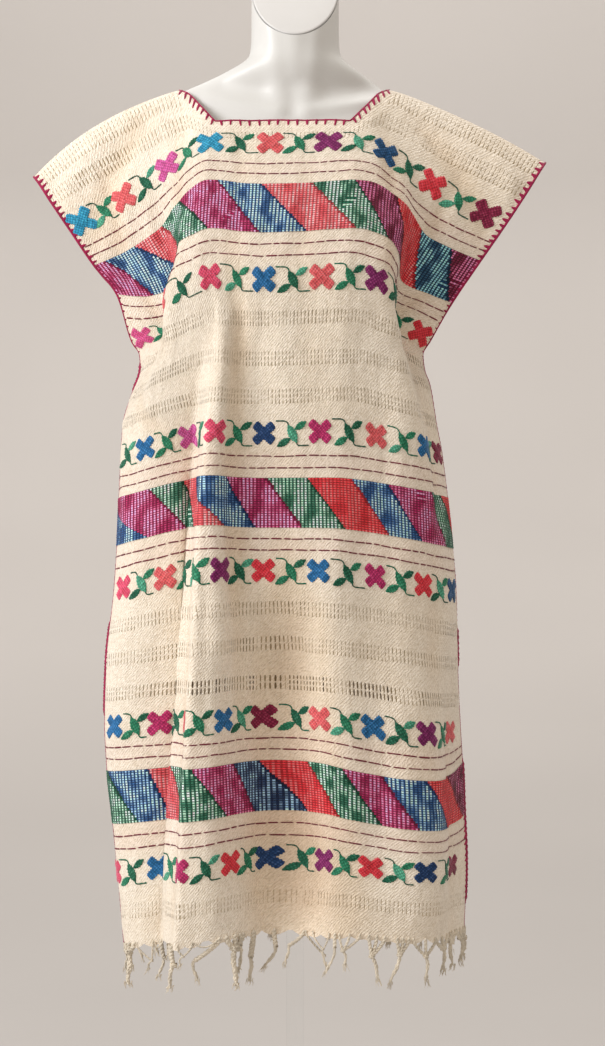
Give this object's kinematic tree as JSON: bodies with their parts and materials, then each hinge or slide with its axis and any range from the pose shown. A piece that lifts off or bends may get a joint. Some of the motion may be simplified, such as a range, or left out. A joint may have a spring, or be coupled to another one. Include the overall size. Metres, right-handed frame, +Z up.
{
  "type": "huipil blouse on a limbless dress form with a pole stand",
  "caption": "Knee-length gauze huipil with brocaded flower rows and diagonal bands, stitched edges and a knotted fringe, on a headless, limbless dress form and stand.",
  "frame": {"origin": "centre of the stand base's underside, on the floor, on the stand's and the neck's axis", "axes": "+Z up; the wearer faces -Y, so +X is on the right as seen from the front"},
  "size_m": [0.6485, 0.36, 1.6344],
  "materials": {
    "front_cotton": "matte",
    "back_cotton": "matte",
    "front_fringe_cotton": "matte",
    "back_fringe_cotton": "matte",
    "neck_thread": "matte",
    "left_armhole_thread": "matte",
    "right_armhole_thread": "matte",
    "left_seam_thread": "matte",
    "right_seam_thread": "matte",
    "form_gloss": "gloss",
    "cap_gloss": "gloss",
    "socket_white": "satin",
    "pole_clear": "gloss",
    "collar_white": "satin",
    "base_white": "satin"
  },
  "bodies": {
    "root": {"front_panel": "front_cotton", "back_panel": "back_cotton", "fringe_front": "front_fringe_cotton", "fringe_back": "back_fringe_cotton", "neck_edging": "neck_thread", "armhole_edging_left": "left_armhole_thread", "armhole_edging_right": "right_armhole_thread", "side_seam_left": "left_seam_thread", "side_seam_right": "right_seam_thread", "dress_form": "form_gloss", "neck_cap": "cap_gloss", "pole_socket": "socket_white", "stand_pole": "pole_clear", "pole_collar": "collar_white", "stand_base": "base_white"}
  },
  "joints": []
}
